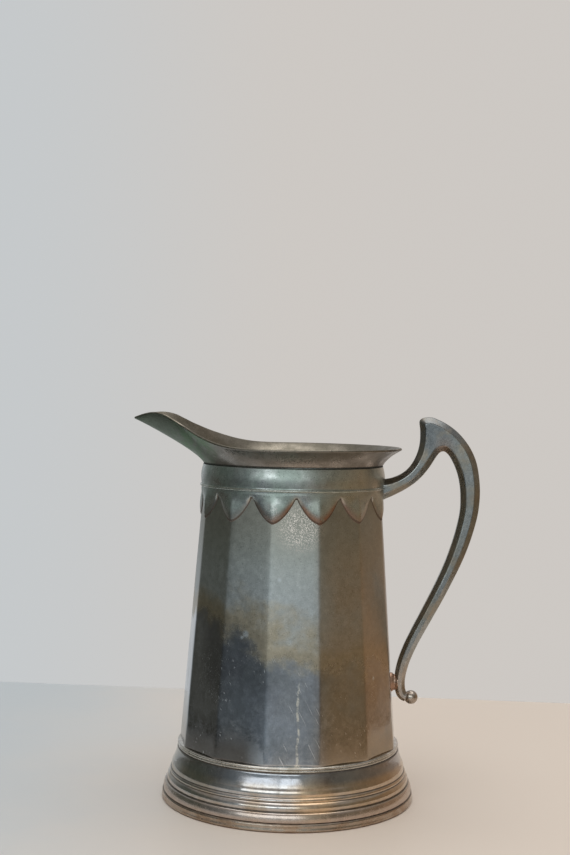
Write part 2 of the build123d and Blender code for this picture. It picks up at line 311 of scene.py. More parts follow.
# A few knocks on the front, which is nearly a cone of this radius and height in millimetres.
cone_radius, cone_height = 61, 850
for x, z, reach in ((-19, 98, 2.6), (-21, 96, 1.4), (-2, 127, 1.9), (47, 73, 1.8),
                    (-31, 64, 1.3), (12, 70, 1.0), (-12, 49, 1.2), (26, 110, 1.0)):
    y = -((cone_radius * (1 - z / cone_height)) ** 2 - x * x) ** 0.5
    outside.stain(outside.near(x, y, z, reach), (0.66, 0.70, 0.72), 0.3, strength=0.75)
body.data.materials.append(outside.finish())
inside = WornPlate("inside_plate", (0.42, 0.41, 0.38), (0.30, 0.29, 0.26), gloss=0.35, matt=0.5)
water_line = together(inside.tree, fade(inside.tree, inside.z, 120 * mm, 135 * mm),
                      fade(inside.tree, inside.z, 150 * mm, 140 * mm))
inside.stain(water_line, (0.5, 0.5, 0.46), 0.6, strength=0.5)
inside_plate = inside.finish()
body.data.materials.append(inside_plate)
for face in body.data.polygons:
    face.material_index = 1 if face.normal.xy.dot(face.center.xy) < 0 else 0
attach(body, "root")
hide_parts("panelled_body")

# ---- The floor -------------------------------------------------------------------------------
# A plate of the body's metal, soldered inside its lower end so that it holds water. It is
# dished a little, and the solder runs up to the wall.
floor_low, floor_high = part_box("floor_plate")
bpy.ops.object.select_all(action="DESELECT")
bpy.ops.mesh.primitive_cylinder_add(
    vertices=panels, radius=-floor_low.x, depth=floor_high.z - floor_low.z,
    location=(0, 0, (floor_low.z + floor_high.z) / 2), rotation=(0, 0, panel_angle / 4))
floor = bpy.context.object
floor.name = "floor_inside"
bpy.ops.object.transform_apply(location=True, rotation=True, scale=True)
open_up(floor, "FACE")
pick(floor, "faces", lambda face: face.normal.z > 0.9)
bpy.ops.mesh.inset(thickness=0.8 * mm, depth=0)
bpy.ops.mesh.inset(thickness=2.2 * mm, depth=-0.5 * mm)
bpy.ops.mesh.inset(thickness=16 * mm, depth=0.1 * mm)
bpy.ops.mesh.inset(thickness=20 * mm, depth=0.5 * mm)
bpy.ops.mesh.inset(thickness=8 * mm, depth=0.1 * mm)
close_up(floor)
floor.data.materials.append(inside_plate)
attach(floor, "root")
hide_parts("floor_plate")

# ---- The foot --------------------------------------------------------------------------------
# A spun skirt with an ogee, two beads, a groove and a flange, plated like the body and kept
# bright by handling. It is turned ring by ring, and its top is folded in as the body's ledge.
foot_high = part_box("foot_skirt")[1]
flange_radius = foot_high.x
foot_top = 28.4 * mm
foot_under = 4.42 * mm
shoulder = flange_radius - 4.4 * mm
ledge = arris_low + 0.5 * mm


def turn(name, rings, segments=208):
    """A turned piece: a circle drawn out from ring to ring, each one a (radius, height)."""
    radius, height = rings[0]
    bpy.ops.object.select_all(action="DESELECT")
    bpy.ops.mesh.primitive_circle_add(vertices=segments, radius=radius, location=(0, 0, height))
    piece = bpy.context.object
    piece.name = name
    bpy.ops.object.transform_apply(location=True, rotation=True, scale=True)
    open_up(piece, "VERT")
    bpy.ops.mesh.select_all(action="SELECT")
    for next_radius, next_height in rings[1:]:
        bpy.ops.mesh.extrude_region_move(
            TRANSFORM_OT_translate={"value": (0, 0, next_height - height)})
        growth = next_radius / radius
        bpy.ops.transform.resize(value=(growth, growth, 1), center_override=(0, 0, 0))
        radius, height = next_radius, next_height
    return piece


def arc(start, end, swell, steps=7):
    """Rings along an arc from start to end that stands swell away from the straight line."""
    start, end = Vector(start), Vector(end)
    side = Vector((start.y - end.y, end.x - start.x)).normalized()
    return [tuple(start.lerp(end, step / steps) + side * swell * sin(pi * step / steps))
            for step in range(steps + 1)]


skirt_rings = [
    (ledge - 5 * mm, foot_top),
    (ledge - 0.3 * mm, foot_top),
    *arc((ledge, 28.1 * mm), (ledge + 1.9 * mm, 21.6 * mm), -0.25 * mm),
    *arc((ledge + 2.15 * mm, 20.9 * mm), (shoulder, 16.9 * mm), 0.35 * mm),
    (shoulder + 0.1 * mm, 16.45 * mm),
    *arc((shoulder + 0.3 * mm, 16.3 * mm), (shoulder + 0.9 * mm, 14.5 * mm), 0.3 * mm, 6),
    (shoulder + 0.75 * mm, 14.2 * mm),
    *arc((shoulder + 1.1 * mm, 13.9 * mm), (shoulder + 2.3 * mm, 10.3 * mm), 0.5 * mm, 8),
    (shoulder + 2.1 * mm, 9.9 * mm),
    (shoulder + 2.2 * mm, 9.6 * mm),
    (shoulder + 3.0 * mm, 9.4 * mm),
    *arc((shoulder + 3.3 * mm, 9.2 * mm), (flange_radius - 0.1 * mm, 5.1 * mm), 0.3 * mm, 5),
    (flange_radius - 0.2 * mm, 4.7 * mm),
    (flange_radius - 0.55 * mm, foot_under),
    (flange_radius - 3 * mm, foot_under),
    (shoulder - 1.2 * mm, 16.8 * mm),
    (ledge - 1.2 * mm, foot_top - 1.2 * mm),
    (ledge - 5 * mm, foot_top - 1.2 * mm),
    (ledge - 5 * mm, foot_top),
]
skirt = turn("foot_skirt_turned", skirt_rings)
close_up(skirt, 50)
hammered(skirt, 0.08 * mm, 20 * mm)
apply_modifiers(skirt)


def line_at(plate, height, half_width):
    """Share that is 1 at a height on a turned piece and fades out on both sides."""
    return fade(plate.tree, off(plate.tree, plate.z, height), half_width, half_width * 0.3)


foot_plate = WornPlate("foot_plate", (0.58, 0.55, 0.53), (0.48, 0.40, 0.32), clouds=16 * mm,
                       dull_from=0.4, dull_to=0.65, gloss=0.1, matt=0.24)
tree = foot_plate.tree
# Painted reflection: the handle's side of the foot is tinted warm for the warm side of the room it
# mirrors.
painted_warm_reflection = fade(tree, foot_plate.x, -5 * mm, 50 * mm)
foot_plate.stain(painted_warm_reflection, (0.50, 0.38, 0.26), strength=0.8)
flange = fade(tree, foot_plate.z, 9.6 * mm, 8.8 * mm)
foot_plate.stain(flange, (0.53, 0.43, 0.37), 0.27, strength=0.75)
# Painted shade: the top of the ogee under the joint wire is darkened and cooled.
painted_shade_under_wire = fade(tree, foot_plate.z, 20.5 * mm, 24 * mm)
foot_plate.stain(painted_shade_under_wire, (0.28, 0.30, 0.34), strength=0.75)
# Painted shade: the spout's side of the foot, towards the dark side of the room, is darkened, more
# towards the top.
painted_shade_spout_side = together(tree, fade(tree, foot_plate.x, -20 * mm, -50 * mm),
                      fade(tree, foot_plate.z, 10 * mm, 19 * mm, 0.2, 0.65))
foot_plate.stain(painted_shade_spout_side, (0.30, 0.28, 0.23))
soot = (0.10, 0.085, 0.07)
for groove, half_width in ((14.35, 0.5), (9.85, 0.6), (16.5, 0.4), (28.3, 0.7)):
    foot_plate.stain(line_at(foot_plate, groove * mm, half_width * mm), soot, 0.5, strength=0.85)
# Painted highlight: a golden reflection on the front of the ogee, right of the middle.
foot_plate.stain(foot_plate.near(20, -62, 15.5, 15), (0.80, 0.56, 0.33), strength=0.6)
skirt.data.materials.append(foot_plate.finish(bump=0.15))
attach(skirt, "root")
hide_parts("foot_skirt")

# ---- The foot band ---------------------------------------------------------------------------
# A flat plated ring, soldered under the skirt, which the pitcher stands on. Its lower edge is
# worn through to the copper, and dirt has settled in the joint above it.
band_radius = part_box("foot_band")[1].x
band_inner = band_radius - 3.6 * mm
band_top = 4.4 * mm
band = turn("foot_band_ring", [
    (band_inner, 0.2 * mm),
    (band_inner + 0.2 * mm, 0),
    (band_radius - 0.7 * mm, 0),
    *arc((band_radius - 0.5 * mm, 0.08 * mm), (band_radius, 0.7 * mm), 0.1 * mm, 4),
    *arc((band_radius, 1.2 * mm), (band_radius - 0.35 * mm, 3.6 * mm), 0.1 * mm, 5),
    (band_radius - 0.6 * mm, 4.2 * mm),
    (band_radius - 1.1 * mm, band_top),
    (band_inner, band_top),
    (band_inner, 0.2 * mm),
])
close_up(band, 50)
hammered(band, 0.08 * mm, 14 * mm)
apply_modifiers(band)
band_plate = WornPlate("foot_band_plate", (0.46, 0.38, 0.31), (0.39, 0.28, 0.20), clouds=9 * mm,
                       dull_from=0.38, dull_to=0.62, gloss=0.16, matt=0.32)
band_plate.stain(line_at(band_plate, band_top, 0.6 * mm), soot, 0.5, strength=0.7)
lower_edge = fade(band_plate.tree, band_plate.z, 1.0 * mm, 0.1 * mm)
band_plate.stain(lower_edge, (0.44, 0.30, 0.21), 0.35, strength=0.7)
band.data.materials.append(band_plate.finish())
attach(band, "root")
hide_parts("foot_band")

# ---- The joint wire --------------------------------------------------------------------------
# A drawn wire of two reeds, plated like the foot, that covers the joint of the body and the
# foot. It is soldered all round, and the solder fills the gap behind it.
wire_low, wire_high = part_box("joint_wire")
wire_columns = panels * 16
reed = (wire_high.z - wire_low.z) / 4
wire_face = wire_high.x - 0.9 * mm
wire_bore = wire_face - 2 * reed
wire_rings = [(wire_bore, wire_low.z)]
for centre in (wire_low.z + reed, wire_low.z + 3 * reed):
    for step in range(9):
        lean = radians(-84 + 21 * step)
        wire_rings.append((wire_face - reed + reed * cos(lean), centre + reed * sin(lean)))
solder_ring = len(wire_rings)
wire_rings += [(wire_face - 0.9 * reed, wire_high.z)] * 2 + [(wire_bore, wire_low.z)]
wire = turn("joint_wire_reeds", wire_rings, wire_columns)
bpy.ops.object.mode_set(mode="OBJECT")


def panel_share(azimuth):
    """How far out the flat panels stand in a direction, as a share of their arrises."""
    off_middle = (azimuth + panel_angle / 2) % panel_angle - panel_angle / 2
    return flat_share / cos(off_middle)


# The solder behind the wire runs in to the flat panels.
solder_reach = arris_low * 0.998 - 0.25 * mm
for number, corner in enumerate(wire.data.vertices):
    if number // wire_columns == solder_ring + 1:
        azimuth = atan2(corner.co.y, corner.co.x)
        radius = panel_share(azimuth) * solder_reach
        corner.co = (radius * cos(azimuth), radius * sin(azimuth), wire_high.z + 0.15 * mm)
open_up(wire, "VERT")
close_up(wire, 60)
hammered(wire, 0.07 * mm, 9 * mm)
apply_modifiers(wire)
wire_plate = WornPlate("bead_wire", (0.62, 0.60, 0.56), (0.46, 0.43, 0.37), clouds=8 * mm,
                       gloss=0.16, matt=0.32)
wire.data.materials.append(wire_plate.finish(bump=0.15))
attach(wire, "root")
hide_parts("joint_wire")

# ---- The collar ------------------------------------------------------------------------------
# A turned band with a swelling upper part. Its lower edge hangs over the body's arrises in
# thirteen cushioned scallops, whose soldered edges are rubbed down to the copper and have
# painted shade under them.
collar_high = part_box("scalloped_collar")[1]
collar_bore = 48.4 * mm
seam_radius = 49.9 * mm
band_stretch = arris_high + 0.7 * mm
scallop_top = collar_high.z - 13.8 * mm
cusp_height = body_high.z - 2 * mm
tip_height = body_high.z - 15.6 * mm
side_bow = 2.8 * mm
edge_thickness = 0.35 * mm
cushion = 0.85 * mm
cushion_width = 4.6 * mm
edge_slant = 0.72
blend_height = 6 * mm
edge_wear_and_shade_width = 4 * mm
collar_columns = panels * 26
scallop_rows = 18
# Below the rows of the scallops come their edge and their back: how far down from the edge, and
# how far out from the drum. The last row goes back up to the body's edge inside.
edge_rows = ((0.25, 0.3), (0.5, 0.12), (0.8, -0.05), (0.8, -0.5), (0, -0.6))
hanging_rows = scallop_rows + len(edge_rows)
solder_height = body_high.z + 0.05 * mm


def drum_radius(azimuth, height):
    """Radius of the panelled drum's outside in a direction at a height."""
    arris = arris_low + (arris_high - arris_low) * (height - body_low.z) / body_height
    return arris * panel_share(azimuth)


def scallop_edge(azimuth):
    """Height of the scallops' lower edge in a direction."""
    from_arris = abs(azimuth % panel_angle / panel_angle - 0.5) * 2
    straight = tip_height + (cusp_height - tip_height) * from_arris
    return straight - 4 * side_bow * from_arris * (1 - from_arris)


collar_rings = [
    (seam_radius - 0.25 * mm, collar_high.z),
    (seam_radius + 0.15 * mm, collar_high.z - 0.3 * mm),
    *arc((seam_radius + 0.3 * mm, collar_high.z - 1.0 * mm),
         (band_stretch, collar_high.z - 10.2 * mm), 0.55 * mm, 12),
    (band_stretch - 0.15 * mm, collar_high.z - 10.8 * mm),
    (band_stretch, collar_high.z - 11.2 * mm),
    (band_stretch, collar_high.z - 12.6 * mm),
    (band_stretch - 0.1 * mm, collar_high.z - 13.2 * mm),
]
first_row = len(collar_rings)
collar_rings += [(band_stretch, scallop_top)] * hanging_rows
collar_rings += [(collar_bore - 0.75 * mm, solder_height),
                 (collar_bore - 0.7 * mm, body_high.z + 0.3 * mm),
                 (collar_bore - 0.15 * mm, body_high.z + 1.0 * mm),
                 (collar_bore, body_high.z + 1.6 * mm),
                 (collar_bore, collar_high.z - 0.3 * mm), collar_rings[0]]
collar = turn("scalloped_collar_band", collar_rings, collar_columns)
bpy.ops.object.mode_set(mode="OBJECT")
# Each column of the hanging rows is drawn down to the scallop's edge and laid on the drum.
# The share says how near each corner is to the scallop's edge: it places the copper wear and the
# painted shade under the edge.
edge_wear_and_shade = collar.data.attributes.new("edge_wear_and_shade_share", "FLOAT", "POINT")
for number, corner in enumerate(collar.data.vertices):
    row = number // collar_columns - first_row
    if not 0 <= row < hanging_rows:
        continue
    azimuth = atan2(corner.co.y, corner.co.x)
    edge = scallop_edge(azimuth)
    if row < scallop_rows:
        share = (1 - row / (scallop_rows - 1)) ** 1.5
        height = edge + (scallop_top - edge) * share
        inward = (height - edge) * edge_slant
        puff = 1 - (1 - min(inward / cushion_width, 1)) ** 2
        radius = drum_radius(azimuth, height) + edge_thickness + cushion * puff
        upper = min(max((height - scallop_top + blend_height) / blend_height, 0), 1)
        upper = upper * upper * (3 - 2 * upper)
        radius += (band_stretch - radius) * upper * min(share * 3, 1)
        edge_wear_and_shade.data[number].value = max(0, 1 - inward / edge_wear_and_shade_width)
    else:
        drop, stand = edge_rows[row - scallop_rows]
        height = edge - drop * mm if drop else solder_height
        radius = drum_radius(azimuth, height) + stand * mm
        edge_wear_and_shade.data[number].value = 1
    corner.co.x, corner.co.y = radius * cos(azimuth), radius * sin(azimuth)
    corner.co.z = height
open_up(collar, "VERT")
close_up(collar, 60)
hammered(collar, 0.1 * mm, 12 * mm)
apply_modifiers(collar)
collar_plate = WornPlate("collar_plate", (0.50, 0.53, 0.51), (0.36, 0.42, 0.38),
                         clouds=14 * mm, gloss=0.26, matt=0.42, pits=0.8)
tree = collar_plate.tree
olive = fade(tree, collar_plate.x, 0.0, 40 * mm)
collar_plate.stain(olive, (0.50, 0.48, 0.41), strength=0.75)
edge_share = lay(tree, "Attribute", attribute_name="edge_wear_and_shade_share").outputs["Fac"]
patchy = fade(tree, collar_plate.mottle, 0.3, 0.55, 0.35, 1.0)
strong = fade(tree, off(tree, collar_plate.x, 12 * mm), 36 * mm, 12 * mm, 0.3, 1.0)
hanging = fade(tree, collar_plate.z, cusp_height, cusp_height - 6 * mm, 0.15, 1.0)
copper = together(tree, patchy, strong, fade(tree, edge_share, 0.0, 0.85), hanging)
collar_plate.stain(copper, (0.38, 0.22, 0.15), 0.4)
# Under the scallops' edges: dark patina, with painted shade where the edge hangs over the drum.
shade_and_patina_under_edge = fade(tree, edge_share, 0.8, 0.98)
collar_plate.stain(shade_and_patina_under_edge, (0.13, 0.09, 0.07), 0.5, strength=0.8)
worn_spot = together(tree, collar_plate.near(-7, -50, 162, 6),
                     fade(tree, collar_plate.fine, 0.48, 0.6))
collar_plate.stain(worn_spot, (0.85, 0.82, 0.78), 0.25)
# The seam under the lip holds black dirt.
seam_dirt = (0.05, 0.05, 0.045)
seam = fade(tree, collar_plate.z, collar_high.z - 0.7 * mm, collar_high.z - 0.2 * mm)
collar_plate.stain(seam, seam_dirt, 0.6)
collar.data.materials.append(collar_plate.finish(bump=0.3))
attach(collar, "root")
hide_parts("scalloped_collar")

# ---- The collar bead -------------------------------------------------------------------------
# A thin half-round wire, plated like the collar. It is soldered round it, between the swelling
# band and the scallops.
bead_low, bead_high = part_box("collar_bead")
bead_round = (bead_high.z - bead_low.z) / 2
bead_middle = (bead_high.z + bead_low.z) / 2
bead_back = band_stretch - 0.2 * mm
bead_rings = [(bead_back, bead_low.z)]
bead_rings += [(band_stretch + bead_round * cos(radians(lean)),
                bead_middle + bead_round * sin(radians(lean))) for lean in range(-84, 85, 21)]
bead_rings += [(bead_back, bead_high.z), bead_rings[0]]
bead = turn("collar_bead_wire", bead_rings)
close_up(bead, 60)
hammered(bead, 0.08 * mm, 7 * mm)
apply_modifiers(bead)
bead_plate = WornPlate("collar_bead_wire", (0.50, 0.52, 0.48), (0.38, 0.40, 0.34), clouds=8 * mm,
                       gloss=0.24, matt=0.38)
bead.data.materials.append(bead_plate.finish(bump=0.15))
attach(bead, "root")
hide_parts("collar_bead")

# ---- The lip and spout -----------------------------------------------------------------------
# One flared sheet of plated metal, soldered on the collar: a plain rim at the handle and the
# sides, drawn out to a long open beak. Its edge is rounded over, and verdigris sits where the
# beak begins.
lip_low, lip_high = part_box("lip_and_spout")
seam_height = lip_low.z
rim_radius = lip_high.y
rim_height = seam_height + 9.1 * mm
lip_wall = 1.3 * mm
lip_bend_out, lip_bend_up = 2.4 * mm, 4.9 * mm
beak_begins = -54 * mm
# Half of the beak's edge: how far out, how far aside, and how far above the seam. The first
# stage lies before the curve and the last one after it, to give it its ends' directions.
beak_edge = [Vector(stage) * mm for stage in (
    (0, 60.5, 9.1), (-10, 59.6, 9.1), (-20, 57.1, 9.2), (-30, 52.5, 9.9), (-40, 45.2, 12.0),
    (-50, 34.9, 15.6), (-55, 28.4, 17.9), (-60, 22.8, 20.6), (-65, 19.6, 23.4),
    (-70, 17.1, 25.8), (-75, 13.8, 27.0), (-80, 9.8, 26.9), (-85, 5.6, 25.8),
    (-89, 2.2, 24.4))]
beak_edge += [Vector((lip_low.x, 0, 23.7 * mm)), Vector((-89, -2.2, 24.4)) * mm]


def smooth_between(before, start, end, after, share):
    """Point between start and end on a smooth curve through all four."""
    return 0.5 * (2 * start + (end - before) * share
                  + (2 * before - 5 * start + 4 * end - after) * share ** 2
                  + (3 * start - before - 3 * end + after) * share ** 3)


# Each column goes from the seam up to its point of the rim or the beak's edge, and bends out
# on the way.
lip_columns = 240
lip_rows = 18
beak_from = atan2(beak_edge[1].y, beak_edge[1].x)
beak_spans = len(beak_edge) - 3
bend_radius = seam_radius + lip_bend_out
lip = turn("lip_and_spout_sheet", [(seam_radius, seam_height)] * lip_rows, lip_columns)
bpy.ops.object.mode_set(mode="OBJECT")
for number, corner in enumerate(lip.data.vertices):
    climb = number // lip_columns / (lip_rows - 1)
    azimuth = atan2(corner.co.y, corner.co.x)
    turned_to = abs(azimuth)
    if turned_to > beak_from:
        run = (turned_to - beak_from) / (pi - beak_from) * beak_spans
        span = min(int(run), beak_spans - 1)
        rim = smooth_between(*beak_edge[span:span + 4], run - span)
        rim = Vector((rim.x, abs(rim.y), seam_height + rim.z))
    else:
        rim = Vector((rim_radius * cos(turned_to), rim_radius * sin(turned_to), rim_height))
    root = Vector((seam_radius * cos(turned_to), seam_radius * sin(turned_to), seam_height))
    bend_to = (turned_to + atan2(rim.y, rim.x)) / 2
    bend = Vector((bend_radius * cos(bend_to), bend_radius * sin(bend_to),
                   seam_height + lip_bend_up))
    spot = root * (1 - climb) ** 2 + bend * 2 * climb * (1 - climb) + rim * climb ** 2
    corner.co = (spot.x, spot.y if azimuth >= 0 else -spot.y, spot.z)
open_up(lip, "VERT")
close_up(lip, 60)
open_up(lip, "VERT")
pick(lip, "verts", lambda corner: corner.co.x < beak_begins and not corner.is_boundary)
bpy.ops.mesh.vertices_smooth(factor=0.5, repeat=24)
bpy.ops.mesh.select_all(action="SELECT")
# An open sheet has no inside that could be told, so it is turned round if it came out wrong.
if next(face for face in bmesh.from_edit_mesh(lip.data).faces
        if face.calc_center_median().x > 45 * mm).normal.x < 0:
    bpy.ops.mesh.flip_normals()
bpy.ops.object.mode_set(mode="OBJECT")
sheet = lip.modifiers.new("sheet", "SOLIDIFY")
sheet.thickness = lip_wall
sheet.offset = -1
sheet.use_even_offset = True
rounding = lip.modifiers.new("rounded edge", "BEVEL")
rounding.width = 0.45 * mm
rounding.segments = 3
rounding.limit_method = "ANGLE"
rounding.angle_limit = radians(55)
apply_modifiers(lip)
lip_plate = WornPlate("lip_plate", (0.31, 0.28, 0.25), (0.24, 0.215, 0.185), clouds=12 * mm,
                      gloss=0.26, matt=0.42, pits=0.7)
tree = lip_plate.tree
teal = fade(tree, lip_plate.x, -30 * mm, -55 * mm)
lip_plate.stain(teal, (0.19, 0.23, 0.18), 0.42, strength=0.85)
verdigris = together(tree, fade(tree, lip_plate.clouds, 0.42, 0.6),
                     fade(tree, lip_plate.x, -35 * mm, -48 * mm),
                     fade(tree, lip_plate.x, -72 * mm, -56 * mm))
lip_plate.stain(verdigris, (0.20, 0.32, 0.19), 0.6, strength=0.7)
seam = fade(tree, lip_plate.z, seam_height + 0.9 * mm, seam_height + 0.3 * mm)
lip_plate.stain(seam, seam_dirt, 0.6)
lip.data.materials.append(lip_plate.finish(bump=0.3))
lip_inside = WornPlate("lip_inside_plate", (0.27, 0.245, 0.20), (0.18, 0.165, 0.13),
                       clouds=10 * mm, gloss=0.28, matt=0.45, pits=0.8)
lip.data.materials.append(lip_inside.finish(bump=0.3))
for face in lip.data.polygons:
    face.material_index = 1 if face.normal.z > 0 else 0
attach(lip, "root")
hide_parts("lip_and_spout")

# ---- The handle ------------------------------------------------------------------------------
# A casting with an eight-sided section: a short neck off the collar, a pointed thumb-piece, and
# a long grip that thins down to a scroll. It is soldered to the collar and to a lug below.
facet = 3.3 * mm
grip_depth, scroll_depth = 5.3 * mm, 3.3 * mm
grip_height, scroll_height = 118 * mm, 58 * mm
handle_sides = 8
# Stages of the side view, from the collar to the scroll: a point of the outer line and the
# point of the inner line across from it, each as (out from the axis, height).
handle_stages = [
    ((49.8, 178.0), (49.8, 166.2)), ((52.4, 178.2), (53.0, 167.7)),
    ((55.6, 179.0), (57.0, 169.6)), ((59.8, 180.9), (62.2, 172.5)),
    ((63.9, 184.2), (67.3, 176.0)), ((66.9, 188.6), (71.7, 180.1)),
    ((69.1, 194.0), (75.6, 185.2)), ((70.1, 199.7), (78.3, 189.6)),
    ((70.1, 205.5), (80.0, 192.2)), ((69.9, 211.2), (81.4, 193.6)),
    ((75.4, 212.8), (82.7, 194.1)), ((80.5, 211.3), (83.9, 193.9)),
    ((85.8, 208.5), (85.0, 193.1)), ((90.6, 204.9), (86.3, 191.7)),
    ((95.0, 200.2), (87.9, 189.1)), ((98.8, 194.4), (89.7, 185.4)),
    ((101.6, 187.4), (91.3, 180.8)), ((103.1, 179.0), (92.5, 175.0)),
    ((103.6, 171.0), (93.0, 168.5)), ((103.0, 162.0), (92.8, 161.5)),
    ((101.3, 153.4), (91.4, 153.6)), ((98.3, 143.3), (88.8, 143.6)),
    ((94.5, 133.3), (85.2, 133.0)), ((89.9, 123.2), (81.0, 122.9)),
    ((84.9, 113.0), (76.5, 113.2)), ((79.7, 103.1), (71.6, 103.2)),
    ((74.5, 93.4), (66.9, 93.7)), ((69.9, 84.2), (62.8, 84.5)),
    ((66.4, 75.3), (59.9, 75.6)), ((64.7, 67.6), (58.7, 67.4)),
    ((64.7, 62.4), (59.3, 60.4)), ((65.5, 59.8), (61.2, 56.6)),
    ((66.6, 58.6), (64.4, 54.8))]
outer_line, inner_line = ([Vector(stage[side]) * mm for stage in handle_stages] for side in (0, 1))
steps_a_stage = 4


def smooth_line(points, steps):
    """Points of a smooth curve through the given ones, with steps to each stage."""
    ends = [2 * points[0] - points[1], *points, 2 * points[-1] - points[-2]]
    line = [smooth_between(*ends[stage:stage + 4], step / steps)
            for stage in range(len(points) - 1) for step in range(steps)]
    return line + [points[-1]]


def set_in(line, amount, toward):
    """The line moved sideways towards another one by an amount at each point."""
    moved = []
    for number, point in enumerate(line):
        sides = []
        for start, end in ((max(number - 1, 0), max(number, 1)),
                           (min(number, len(line) - 2), min(number + 1, len(line) - 1))):
            run = (line[end] - line[start]).normalized()
            side = Vector((-run.y, run.x))
            sides.append(side if side.dot(toward[number] - point) > 0 else -side)
        mitre = (sides[0] + sides[1]) / (1 + max(sides[0].dot(sides[1]), 0))
        moved.append(point + mitre * amount[number])
    return moved


# Half the handle's depth across, and the width of its facets, at each stage. The ridges are
# set in at the stages and smoothed afterwards, so that they don't fold round the thumb-piece.
depths, facets = [], []
for outer, inner in zip(outer_line, inner_line):
    middle = (outer.y + inner.y) / 2
    full = min(max((middle - scroll_height) / (grip_height - scroll_height), 0), 1)
    depths.append(Vector((scroll_depth + (grip_depth - scroll_depth) * full, 0)))
    facets.append(min(facet, 0.3 * (outer - inner).length, depths[-1].x * 0.58))
outer_ridge = smooth_line(set_in(outer_line, facets, inner_line), steps_a_stage)
inner_ridge = smooth_line(set_in(inner_line, facets, outer_line), steps_a_stage)
outer_line = smooth_line(outer_line, steps_a_stage)
inner_line = smooth_line(inner_line, steps_a_stage)
depths = [point.x for point in smooth_line(depths, steps_a_stage)]
facets = [point.x for point in smooth_line([Vector((size, 0)) for size in facets], steps_a_stage)]
handle = turn("handle_casting", [(mm, 0)] * len(outer_line), handle_sides)
bpy.ops.object.mode_set(mode="OBJECT")
# Four corners of the section lie on each side, from the outer line to the inner one.
side_lines = (outer_line, outer_ridge, inner_ridge, inner_line)
for number, corner in enumerate(handle.data.vertices):
    stage, place = divmod(number, handle_sides)
    across = min(place, handle_sides - 1 - place)
    line = side_lines[across]
    depth = depths[stage] - (facets[stage] if across in (0, 3) else 0)
    corner.co = (line[stage].x, depth if place < handle_sides / 2 else -depth, line[stage].y)
open_up(handle, "EDGE")
bpy.ops.mesh.select_non_manifold()
bpy.ops.mesh.fill_holes(sides=0)
close_up(handle, 30)
ridges = handle.modifiers.new("rubbed ridges", "BEVEL")
ridges.width = 0.45 * mm
ridges.segments = 3
ridges.limit_method = "ANGLE"
ridges.angle_limit = radians(24)
hammered(handle, 0.12 * mm, 12 * mm)
apply_modifiers(handle)
handle_plate = WornPlate("handle_plate", (0.36, 0.37, 0.36), (0.28, 0.28, 0.25), clouds=13 * mm,
                         gloss=0.22, matt=0.36, pits=0.7)
tree = handle_plate.tree
thumb_piece = handle_plate.near(76, 0, 206, 22, 0.4)
handle_plate.stain(thumb_piece, (0.15, 0.165, 0.18), strength=0.6)
crotch = handle_plate.near(83.5, 0, 197, 9, 1 / 3)
handle_plate.stain(crotch, (0.36, 0.24, 0.17), strength=0.6)
browned = fade(tree, handle_plate.clouds, 0.5, 0.66)
handle_plate.stain(browned, (0.42, 0.35, 0.27), strength=0.5)
lower_end = fade(tree, handle_plate.z, 88 * mm, 64 * mm)
handle_plate.stain(lower_end, (0.55, 0.46, 0.40), 0.2, strength=0.55)
handle.data.materials.append(handle_plate.finish(bump=0.25))
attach(handle, "root")
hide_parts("handle")

# ---- The scroll ball -------------------------------------------------------------------------
# A cast ball of plated metal, soldered to the end of the scroll. Handling has rubbed it bright,
# and its sides are a little flat.
ball_low, ball_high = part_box("scroll_ball")
ball_radius = (ball_high.z - ball_low.z) / 2
ball_middle = (ball_low + ball_high) / 2
bpy.ops.object.select_all(action="DESELECT")
bpy.ops.mesh.primitive_uv_sphere_add(segments=40, ring_count=24, radius=ball_radius,
                                     location=ball_middle)
ball = bpy.context.object
ball.name = "handle_scroll_ball"
bpy.ops.object.transform_apply(location=True, rotation=True, scale=True)
open_up(ball, "VERT")
bpy.ops.mesh.select_all(action="SELECT")
bpy.ops.transform.resize(value=(1, 0.94, 1), center_override=ball_middle)
close_up(ball, 60)
hammered(ball, 0.15 * mm, 4 * mm)
apply_modifiers(ball)
ball_plate = WornPlate("ball_plate", (0.56, 0.50, 0.44), (0.42, 0.35, 0.29), clouds=4 * mm,
                       gloss=0.18, matt=0.32)
ball.data.materials.append(ball_plate.finish())
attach(ball, "root")
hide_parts("scroll_ball")

# ---- The handle's lug ------------------------------------------------------------------------
# A short oval lug between the body and the handle's lower end. The solder runs out round both
# of its ends, and its plate is worn through to the copper.
lug_low, lug_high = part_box("handle_lug")
lug_middle = (lug_low + lug_high) / 2
lug_half_wide, lug_half_high = (lug_high.y - lug_low.y) / 2, (lug_high.z - lug_low.z) / 2
bpy.ops.object.select_all(action="DESELECT")
bpy.ops.mesh.primitive_circle_add(vertices=40, radius=lug_half_high, fill_type="NGON",
                                  location=(lug_high.x - 5 * mm, 0, lug_middle.z),
                                  rotation=(0, pi / 2, 0))
lug = bpy.context.object
lug.name = "handle_lug_stub"
bpy.ops.object.transform_apply(location=True, rotation=True, scale=True)
open_up(lug, "FACE")
bpy.ops.mesh.select_all(action="SELECT")
bpy.ops.transform.resize(value=(1, lug_half_wide / lug_half_high, 1),
                         center_override=(0, 0, lug_middle.z))
